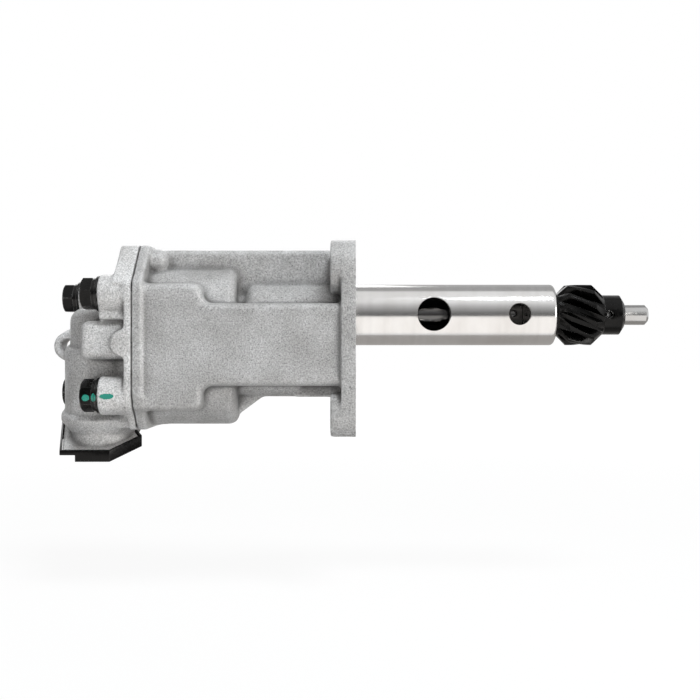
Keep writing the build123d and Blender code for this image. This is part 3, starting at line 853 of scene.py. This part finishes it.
@dataclass
class CastSkin:
    """Soft-edged casting made from a CAD node, crisp where it is machined."""

    node: str
    cast: Material
    milled: Material
    flats: tuple[Flat, ...]
    drillings: tuple[Drilling, ...] = ()
    corners: tuple[Corner, ...] = ()
    voxel_mm: float = 1.0
    rounds: int = 5
    crease_rounds: int = 6
    hollow_rounds: int = 50
    smoothing: float = 0.5
    link_voxels: float = 2.5
    cap_mm: float = 4.0
    rim_angle: float = 40.0

    def build(self) -> Piece:
        """Make the skin.

        Returns:
            The new piece.
        """
        shape = node_copy(self.node)
        for flat in self.flats:
            self.lengthen(shape, flat)
        for corner in self.corners:
            corner.fill(shape)
        piece = from_bmesh(self.node + "_skin", shape, self.cast, self.milled)
        remesh = piece.modifiers.new("remesh", "REMESH")
        remesh.mode = "VOXEL"
        remesh.voxel_size = self.voxel_mm * MM
        applied(piece)
        self.soften(piece)
        for hole in self.drillings:
            cut_away(piece, hole.cutter())
        self.measure(piece, "crease", self.crease_rounds)
        self.measure(piece, "hollow", self.hollow_rounds)
        self.mark(piece)
        return stand_in(piece, self.node)

    def lengthen(self, shape: Mesh, flat: Flat) -> None:
        """Pull a machined face out, so that rounding doesn't reach its real edge.

        Args:
            shape: the casting.
            flat: the machined plane.
        """
        faces = [face for face in shape.faces if flat.holds(face, 0.99)]
        extrude(shape, faces, Vector((flat.side * self.cap_mm * MM, 0, 0)))
        bmesh.ops.delete(shape, geom=faces, context="FACES")

    def soften(self, piece: Piece) -> None:
        """Round the remeshed edges and cut the machined faces flat.

        Args:
            piece: the remeshed piece.
        """
        shape = bmesh.new()
        shape.from_mesh(piece.data)
        for _ in range(self.rounds):
            bmesh.ops.smooth_vert(
                shape,
                verts=shape.verts,
                factor=self.smoothing,
                use_axis_x=True,
                use_axis_y=True,
                use_axis_z=True,
            )
        for flat in self.flats:
            cut_flat(shape, flat.x_mm, flat.side)
        bmesh.ops.recalc_face_normals(shape, faces=shape.faces)
        shape.to_mesh(piece.data)
        shape.free()

    def measure(self, piece: Piece, name: str, rounds: int) -> None:
        """Store at each point how far smoothing would lift it: above zero in hollows, below on edges.

        Args:
            piece: the piece.
            name: the attribute that takes the lift in millimetres.
            rounds: how often the points are smoothed, which sets how wide a hollow counts.
        """
        mesh = piece.data
        count = len(mesh.vertices)
        start = np.empty(count * 3)
        mesh.vertices.foreach_get("co", start)
        start = start.reshape(-1, 3) / MM
        normals = np.empty(count * 3)
        mesh.vertices.foreach_get("normal", normals)
        pairs = np.empty(len(mesh.edges) * 2, dtype=np.int64)
        mesh.edges.foreach_get("vertices", pairs)
        pairs = pairs.reshape(-1, 2)
        lengths = np.linalg.norm(start[pairs[:, 0]] - start[pairs[:, 1]], axis=1)
        pairs = pairs[lengths < self.link_voxels * self.voxel_mm]
        ends = np.concatenate((pairs[:, 0], pairs[:, 1]))
        others = np.concatenate((pairs[:, 1], pairs[:, 0]))
        share = np.bincount(ends, minlength=count)
        linked = share > 0
        moved = start.copy()
        for _ in range(rounds):
            for axis in range(3):
                total = np.bincount(ends, weights=moved[others, axis], minlength=count)
                middle = total[linked] / share[linked]
                moved[linked, axis] += self.smoothing * (middle - moved[linked, axis])
        lift = np.einsum("ij,ij->i", moved - start, normals.reshape(-1, 3))
        mesh.attributes.new(name, "FLOAT", "POINT").data.foreach_set("value", lift.astype(np.float32))
        LOG.info("%s %s from %.2f to %.2f", piece.name, name, *np.percentile(lift, (2, 98)))

    def mark(self, piece: Piece) -> None:
        """Give machined faces their own finish and keep their rims sharp.

        Args:
            piece: the cut piece.
        """
        shape = bmesh.new()
        shape.from_mesh(piece.data)
        for face in shape.faces:
            face.smooth = True
            face.material_index = int(self.is_machined(face))
        sharpen(shape, self.rim_angle)
        shape.to_mesh(piece.data)
        shape.free()

    def is_machined(self, face: Face) -> bool:
        """Tell whether a face lies in a machined surface."""
        in_flat = any(flat.holds(face, 0.9) for flat in self.flats)
        return in_flat or any(hole.holds(face) for hole in self.drillings)


@dataclass
class Castings:
    """Body and cover castings with their machined faces and holes."""

    cast: Material
    cover_cast: Material
    milled: Material
    seam_half: float = 0.15
    cover_voxel: float = 0.8
    bolt_radius: float = 5.6
    bolt_span: tuple[float, float] = (-14.6, 1.0)
    spot: Drilling = Drilling(-23.0, 26.0, 14.1, -20.4, -14.0)
    bolts: tuple[tuple[float, float], ...] = ((-23.0, 26.0), (-25.5, -56.0), (28.0, -12.0))
    corners: tuple[Corner, ...] = (Corner(-84.2, 16.4, 5.5), Corner(-84.2, -53.7, -40.3))

    def build(self) -> None:
        """Make both skins and put them in place of their nodes."""
        holes = tuple(Drilling(y, z, self.bolt_radius, *self.bolt_span) for y, z in self.bolts)
        body_ends = (Flat(JOINT_X + self.seam_half, -1.0), Flat(0.0, 1.0))
        CastSkin("pump_body", self.cast, self.milled, body_ends, (self.spot, *holes), self.corners).build()
        cover_ends = (Flat(JOINT_X - self.seam_half, 1.0),)
        CastSkin("pump_cover", self.cover_cast, self.milled, cover_ends, voxel_mm=self.cover_voxel).build()


@dataclass
class LocatingSleeve:
    """Turned sleeve with its two windows, seated in the flange's face."""

    material: Material
    # Near-black finish for the bore: painted shade of the interior.
    inside: Material
    radius: float = 17.5
    length: float = 114.2
    chamfer: float = 2.2
    core_radius: float = 10.5
    root: float = 3.0
    seat_radius: float = 8.06
    seat_from: float = 75.2
    windows: tuple[tuple[float, float], ...] = ((44.3, 9.5), (92.6, 6.2))
    step: float = 1.6
    round_steps: int = 8
    sides: int = 192
    rim: float = 0.3
    rim_angle: float = 25.0
    shade_angle: float = 30.0
    window_sides: int = 128
    cutter_past: float = 2.0
    inside_slack: float = 0.2
    end_band: float = 1.0

    def build(self) -> Piece:
        """Spin the wall, cut the windows and round their rims.

        Returns:
            The new piece.
        """
        shape = bmesh.new()
        points = self.profile()
        verts = [shape.verts.new((x * MM, r * MM, 0)) for x, r in points]
        edges = [shape.edges.new(pair) for pair in zip(verts, verts[1:] + verts[:1])]
        bmesh.ops.spin(
            shape,
            geom=verts + edges,
            cent=(0, 0, 0),
            axis=(1, 0, 0),
            angle=2 * math.pi,
            steps=self.sides,
            use_merge=True,
        )
        bmesh.ops.recalc_face_normals(shape, faces=shape.faces)
        piece = from_bmesh("turned_sleeve", shape, self.material, self.inside)
        for x, radius in self.windows:
            start = (x, -self.radius - self.cutter_past, 0)
            cut_away(piece, pin(radius, start, (x, 0, 0), self.window_sides))
        self.round_rims(piece)
        # Faces of the bore, short of the free end, take the dark inside finish as painted shade.
        inside = (self.core_radius + self.inside_slack) * MM
        end = (self.length - self.end_band) * MM
        for polygon in piece.data.polygons:
            middle = polygon.center
            polygon.material_index = int(math.hypot(middle.y, middle.z) < inside and middle.x < end)
        return stand_in(piece, "locating_sleeve")

    def profile(self) -> list[tuple[float, float]]:
        """Draw the wall's section, with short steps along the outside.

        Returns:
            Its closed outline, as stations and radii in millimetres.
        """
        outer_end = self.length - self.chamfer
        count = round(outer_end / self.step)
        points = [(-self.root, self.radius)]
        points += [(outer_end * step / count, self.radius) for step in range(count + 1)]
        for step in range(1, self.round_steps + 1):
            turn = math.pi / 2 * step / self.round_steps
            drop = self.chamfer * (1 - math.cos(turn))
            points.append((outer_end + self.chamfer * math.sin(turn), self.radius - drop))
        points += [(self.length, self.seat_radius), (self.seat_from, self.seat_radius)]
        points += [(self.seat_from, self.core_radius), (-self.root, self.core_radius)]
        return points

    def round_rims(self, piece: Piece) -> None:
        """Bevel the sharp rims of the windows and of the free end.

        Args:
            piece: the sleeve.
        """
        shape = bmesh.new()
        shape.from_mesh(piece.data)
        bmesh.ops.remove_doubles(shape, verts=shape.verts, dist=TOUCH_MM * MM)
        outside = (self.core_radius + 1.0) * MM
        rims = [
            edge for edge in shape.edges
            if len(edge.link_faces) == 2
            and edge.calc_face_angle(0.0) > math.radians(self.rim_angle)
            and min(vert.co.x for vert in edge.verts) > 1.0 * MM
            and min(math.hypot(vert.co.y, vert.co.z) for vert in edge.verts) > outside
        ]
        round_edges(shape, rims, self.rim, 2)
        sharpen(shape, self.shade_angle)
        shape.to_mesh(piece.data)
        shape.free()
        smooth(piece.data)


# Small pieces
@dataclass
class RoundedPiece:
    """CAD node made again with welded faces and rounded edges that catch the light."""

    node: str
    slot: Slot
    material: Material
    radius_mm: float = 0.3
    segments: int = 2
    angle: float = 30.0
    flat_angle: float = 0.6
    shade_angle: float = 38.0

    def build(self) -> Piece:
        """Make the piece.

        Returns:
            The new piece.
        """
        shape = node_copy(self.node)
        bmesh.ops.dissolve_limit(
            shape,
            angle_limit=math.radians(self.flat_angle),
            verts=shape.verts,
            edges=shape.edges,
            use_dissolve_boundaries=False,
        )
        # The bevel faces are marked so that the material paints them lighter as rubbed wear and painted
        # highlight.
        worn_and_highlit = shape.faces.layers.float.new("edge")
        sharp = [
            edge for edge in shape.edges
            if len(edge.link_faces) == 2 and edge.calc_face_angle(0.0) > math.radians(self.angle)
        ]
        for face in round_edges(shape, sharp, self.radius_mm, self.segments):
            face[worn_and_highlit] = 1.0
        sharpen(shape, self.shade_angle)
        return stand_in(from_bmesh(self.node + "_rounded", shape, self.material), self.node)


@dataclass
class WovenGauze:
    """Strainer gauze of crossing wires inside the mouth's outline."""

    material: Material
    pitch: float = 1.7
    wire: float = 0.24
    wave: float = 0.22
    slope: float = 23.7
    passage_x: float = -147.4
    mouth_z: float = -69.4
    depth: float = 2.35
    outline: tuple[tuple[float, float], ...] = (
        (-17.9, -16.7), (8.2, -16.7), (21.9, -1.6), (17.8, 4.9), (17.8, 23.7), (-27.3, 23.7),
    )

    def build(self) -> Piece:
        """Weave the wires and tilt them in the plane of the mouth.

        Returns:
            The new piece.
        """
        curve = bpy.data.curves.new("gauze_wires", "CURVE")
        curve.dimensions = "3D"
        curve.bevel_depth = self.wire * MM
        curve.bevel_resolution = 1
        curve.use_fill_caps = True
        for axis in (0, 1):
            self.add_wires(curve, axis)
        wires = bpy.data.objects.new("gauze_wires", curve)
        bpy.context.scene.collection.objects.link(wires)
        graph = bpy.context.evaluated_depsgraph_get()
        mesh = bpy.data.meshes.new_from_object(wires.evaluated_get(graph))
        bpy.data.objects.remove(wires)
        smooth(mesh)
        return stand_in(new_piece("woven_gauze", mesh, self.material), "strainer_gauze")

    def add_wires(self, curve: bpy.types.Curve, axis: int) -> None:
        """Add the wires that run along one axis of the mouth.

        Args:
            curve: the curve that takes them.
            axis: 0 for wires along X, 1 for wires along Y.
        """
        across = [point[1 - axis] for point in self.outline]
        count = int((max(across) - min(across)) / self.pitch)
        for index in range(1, count):
            place = min(across) + index * self.pitch
            ends = self.crossings(axis, place)
            if len(ends) < 2:
                continue
            steps = max(2, int((ends[-1] - ends[0]) / (self.pitch / 2)))
            spline = curve.splines.new("POLY")
            spline.points.add(steps)
            for step, point in enumerate(spline.points):
                along = ends[0] + (ends[-1] - ends[0]) * step / steps
                phase = math.pi * (along / self.pitch + index + axis)
                point.co = (*self.seat(axis, along, place, self.wave * math.sin(phase)), 1.0)

    def crossings(self, axis: int, place: float) -> list[float]:
        """Find where a line along one axis crosses the outline.

        Args:
            axis: 0 for a line along X, 1 for a line along Y.
            place: where the line runs on the other axis.

        Returns:
            The crossings along the line, in order.
        """
        found = []
        for start, end in zip(self.outline, self.outline[1:] + self.outline[:1]):
            low, high = start[1 - axis], end[1 - axis]
            if (low - place) * (high - place) < 0:
                share = (place - low) / (high - low)
                found.append(start[axis] + (end[axis] - start[axis]) * share)
        return sorted(found)

    def seat(self, axis: int, along: float, place: float, lift: float) -> Vector:
        """Put a point of a wire on the tilted plane under the mouth.

        Args:
            axis: 0 for a wire along X, 1 for a wire along Y.
            along: the point's place along the wire.
            place: the wire's place on the other axis.
            lift: how far the weave lifts the point.

        Returns:
            The point in metres.
        """
        x, y = (along, place) if axis == 0 else (place, along)
        tilt = math.radians(self.slope)
        down = self.depth / math.cos(tilt)
        return Vector((self.passage_x + x, y, self.mouth_z + y * math.tan(tilt) - down + lift)) * MM


@dataclass
class SmallPieces:
    """Pinion, screws, washers, strainer frame and what else shows its edges."""

    black: Material
    screw: Material
    washer: Material
    pressed: Material
    ground: Material
    bush: Material
    wire: Material

    def build(self) -> None:
        """Make each small piece."""
        for node, slot, material, radius in (
            ("helical_pinion", Slot.BLACK, self.black, 0.30),
            ("roll_pin", Slot.BLACK, self.black, 0.15),
            ("front_screws", Slot.SCREW, self.screw, 0.45),
            ("rear_screws", Slot.SCREW, self.screw, 0.45),
            ("flat_washers", Slot.WASHER, self.washer, 0.45),
            ("spring_washers", Slot.WASHER, self.washer, 0.35),
            ("strainer_frame", Slot.PRESSED, self.pressed, 0.35),
            ("drive_shaft", Slot.BRIGHT, self.ground, 0.15),
            ("end_bush", Slot.BUSH, self.bush, 0.15),
            ("sleeve_bush", Slot.BUSH, self.bush, 0.15),
        ):
            RoundedPiece(node, slot, material, radius).build()
        WovenGauze(self.wire).build()


# Studio
@dataclass(frozen=True)
class Card:
    """Card that only shows in gloss, as a reflector or a black flag in a photographer's studio."""

    name: str
    low: Point
    high: Point
    level: float
    top_level: float
    warmth: float = 0.0
    rise_from: float = -1.0


@dataclass(frozen=True)
class Lamp:
    """Square lamp that points at the pump. Either its matt light or its gloss can be switched off."""

    name: str
    place: Point
    side: float
    watts: float
    colour: Point
    lights_matt: bool = True
    shows_in_gloss: bool = True

    def hang(self) -> None:
        """Put the lamp in the scene."""
        data = bpy.data.lights.new(self.name, "AREA")
        data.size = self.side
        data.energy = self.watts
        data.color = self.colour
        lamp = bpy.data.objects.new(self.name, data)
        lamp.location = self.place
        lamp.rotation_euler = (-Vector(self.place)).to_track_quat("-Z", "Y").to_euler()
        lamp.visible_diffuse = self.lights_matt
        lamp.visible_glossy = self.shows_in_gloss
        bpy.context.scene.collection.objects.link(lamp)


@dataclass
class Studio:
    """White floor, soft lamps, reflecting cards and the photograph's camera."""

    distance: float = 0.600
    sideways: float = -0.0032
    height: float = -0.0203
    field: float = 0.406
    sensor_mm: float = 36.0
    floor_z: float = -0.16
    floor_half: float = 6.0
    floor_glow: float = 1.03
    floor_level: float = 0.70
    floor_share: float = 0.90
    floor_fade: tuple[float, float] = (0.35, 1.3)
    soft_level: float = 0.12
    lamps: tuple[Lamp, ...] = (
        Lamp("key", (0.35, -0.80, 1.30), 0.5, 24.0, (0.94, 0.975, 1.0), shows_in_gloss=False),
        Lamp("glint", (0.35, -0.70, 1.35), 0.15, 0.9, (0.92, 0.97, 1.0), lights_matt=False),
        Lamp("side", (1.5, -1.0, 0.25), 0.8, 11.0, (1.0, 0.98, 0.95)),
        Lamp("fill", (0.3, -1.4, 0.10), 0.9, 1.5, (1.0, 0.96, 0.92)),
        Lamp("back", (-0.4, 1.3, 0.9), 1.0, 6.0, (1.0, 1.0, 1.0)),
    )
    cards: tuple[Card, ...] = (
        Card("camera_flag", (-2.0, -1.30, -0.20), (2.0, -1.30, 1.40), 0.13, 1.00, 0.0, 0.02),
        Card("left_flag", (-1.6, -1.28, -0.155), (-1.6, 1.20, 1.00), 0.12, 0.50),
        Card("front_card", (-1.2, -1.10, -0.150), (1.2, -0.05, -0.150), 1.25, 1.25, 0.03),
        Card("table_card", (-1.2, -0.03, -0.155), (1.2, 1.60, -0.155), 0.42, 0.42, 0.04),
        Card("back_card", (-2.0, 1.70, 0.30), (2.0, 1.70, 2.20), 0.45, 0.60),
        Card("top_card", (-2.0, 0.25, 1.50), (2.0, 1.68, 1.50), 0.45, 0.45),
    )

    def build(self) -> None:
        """Make the camera, the lamps, the cards, the floor and the world."""
        self.camera()
        for lamp in self.lamps:
            lamp.hang()
        for card in self.cards:
            self.card(card)
        self.floor()
        self.world()

    def camera(self) -> None:
        """Place the camera square in front of the pump."""
        data = bpy.data.cameras.new("camera")
        data.sensor_width = self.sensor_mm
        data.lens = self.sensor_mm * self.distance / self.field
        data.clip_start = 0.01
        camera = bpy.data.objects.new("camera", data)
        camera.location = (self.sideways, -self.distance, self.height)
        camera.rotation_euler = (math.pi / 2, 0, 0)
        bpy.context.scene.collection.objects.link(camera)
        bpy.context.scene.camera = camera

    def card(self, card: Card) -> None:
        """Hang a card that glows from its low edge to its high edge and shows in gloss alone.

        Args:
            card: its place and its levels.
        """
        low, high = Vector(card.low), Vector(card.high)
        board = Board(card.name)
        height = board.add("SeparateXYZ", Vector=board.place).outputs["Z"]
        share = board.spread(height, max(low.z, card.rise_from), high.z + MM, 0.0, 1.0)
        tone = board.blend(share, grey(card.level, card.warmth), grey(card.top_level, card.warmth))
        board.join(board.add("Emission", Color=tone).outputs[0], board.output.inputs[0])
        shape = bmesh.new()
        bmesh.ops.create_cube(shape, size=1.0)
        bmesh.ops.scale(shape, verts=shape.verts, vec=[max(side, MM) for side in high - low])
        bmesh.ops.translate(shape, verts=shape.verts, vec=(low + high) / 2)
        piece = from_bmesh(card.name, shape, board.owner)
        piece.visible_camera = False
        piece.visible_diffuse = False
        piece.visible_shadow = False
        piece.visible_transmission = False

    def background_rays(self, board: Board) -> Socket:
        """Find the rays that see the white background: those of the camera, of gloss and of glass.

        Args:
            board: the board that asks.

        Returns:
            1 for those rays.
        """
        rays = board.add("LightPath")
        seen = board.math("MAXIMUM", rays.outputs["Is Camera Ray"], rays.outputs["Is Glossy Ray"])
        return board.math("MAXIMUM", seen, rays.outputs["Is Transmission Ray"])

    def mix(self, board: Board, share: Socket, first: Shader, second: Shader) -> None:
        """Mix two shaders into a board's output.

        Args:
            board: the board.
            share: the share of the second one.
            first: the first shader.
            second: the second shader.
        """
        mixed = board.add("MixShader")
        for source, target in zip((share, first.outputs[0], second.outputs[0]), mixed.inputs):
            board.join(source, target)
        board.join(mixed.outputs[0], board.output.inputs[0])

    def floor(self) -> None:
        """Lay the pale floor below the pump. Far from it, it fades into the white room."""
        board = Board("studio_floor")
        matt = board.add("BsdfDiffuse", Color=(*grey(self.floor_level), 1.0))
        glow = board.add("Emission", Strength=self.floor_glow)
        away = board.add("VectorMath", operation="LENGTH")
        board.join(board.place, away.inputs[0])
        share = board.spread(away.outputs["Value"], *self.floor_fade, self.floor_share, 1.0)
        self.mix(board, board.math("MULTIPLY", self.background_rays(board), share), matt, glow)
        shape = bmesh.new()
        bmesh.ops.create_grid(shape, x_segments=1, y_segments=1, size=self.floor_half)
        bmesh.ops.translate(shape, verts=shape.verts, vec=(0, 0, self.floor_z))
        from_bmesh("floor", shape, board.owner)

    def world(self) -> None:
        """Light the room softly, and show white behind the pump and in its gloss."""
        world = bpy.data.worlds.new("room")
        bpy.context.scene.world = world
        board = Board("room", world)
        soft = board.add("Background", Color=WHITE, Strength=self.soft_level)
        white = board.add("Background", Color=WHITE)
        self.mix(board, self.background_rays(board), soft, white)


def dress_nodes(finishes: dict[Slot, Material]) -> None:
    """Give each CAD node the finish of its slot.

    Args:
        finishes: material by slot.
    """
    for entry in frame["record"]["subparts"]:
        for slot in frame["nodes"][entry["node"]].material_slots:
            slot.material = finishes[Slot(entry["material_slot"])]


def main() -> None:
    """Build the pump's looks and its studio."""
    logging.basicConfig(level=logging.INFO, format="%(name)s: %(message)s")
    bpy.context.scene.view_settings.view_transform = "Standard"
    paint = PaintMark()
    cast = CastAluminium().build()
    # The cover gets deeper painted shade in its hollows than the body.
    cover_cast = CastAluminium("cover_aluminium", level=0.70, shadow=0.35, paint=paint).build()
    milled = MilledAluminium().build()
    turned = TurnedMetal("turned_aluminium", 0.72, 0.17, warmth=0.006).build()
    # The sleeve's bore gets a near-black level: painted shade of the interior.
    inside = TurnedMetal("sleeve_inside", 0.10, 0.40, warmth=0.02).build()
    # The ground shaft gets painted shade up to 117 mm, where it lies inside the sleeve.
    ground = TurnedMetal("ground_steel", 0.52, 0.18, shaded_inside_to=117.0).build()
    gear = TurnedMetal("gear_steel", 0.42, 0.30).build()
    # The bushes get a near-black level: painted shade of the sleeve's interior seen through the small
    # window.
    bush = TurnedMetal("bush_metal", 0.06, 0.42, warmth=0.03).build()
    black = BlackSteel().build()
    screw = BlackSteel("screw_steel", level=0.014, edge_level=0.16, edge_share=0.7, paint=paint).build()
    washer = BlackSteel("washer_steel", level=0.020, edge_level=0.12, edge_share=0.5, paint=paint).build()
    pressed = BlackSteel("pressed_steel", 0.014, edge_level=0.05, edge_share=0.4, depth_mm=0.005).build()
    wire = TurnedMetal("gauze_wire", 0.35, 0.30).build()
    dress_nodes({
        Slot.CAST: cast,
        Slot.BRIGHT: ground,
        Slot.GEAR: gear,
        Slot.BLACK: black,
        Slot.SCREW: screw,
        Slot.WASHER: washer,
        Slot.BUSH: bush,
        Slot.PRESSED: pressed,
        Slot.GAUZE: wire,
    })
    Castings(cast, cover_cast, milled).build()
    LocatingSleeve(turned, inside).build()
    SmallPieces(black, screw, washer, pressed, ground, bush, wire).build()
    Studio().build()


if __name__ == "__main__":
    main()
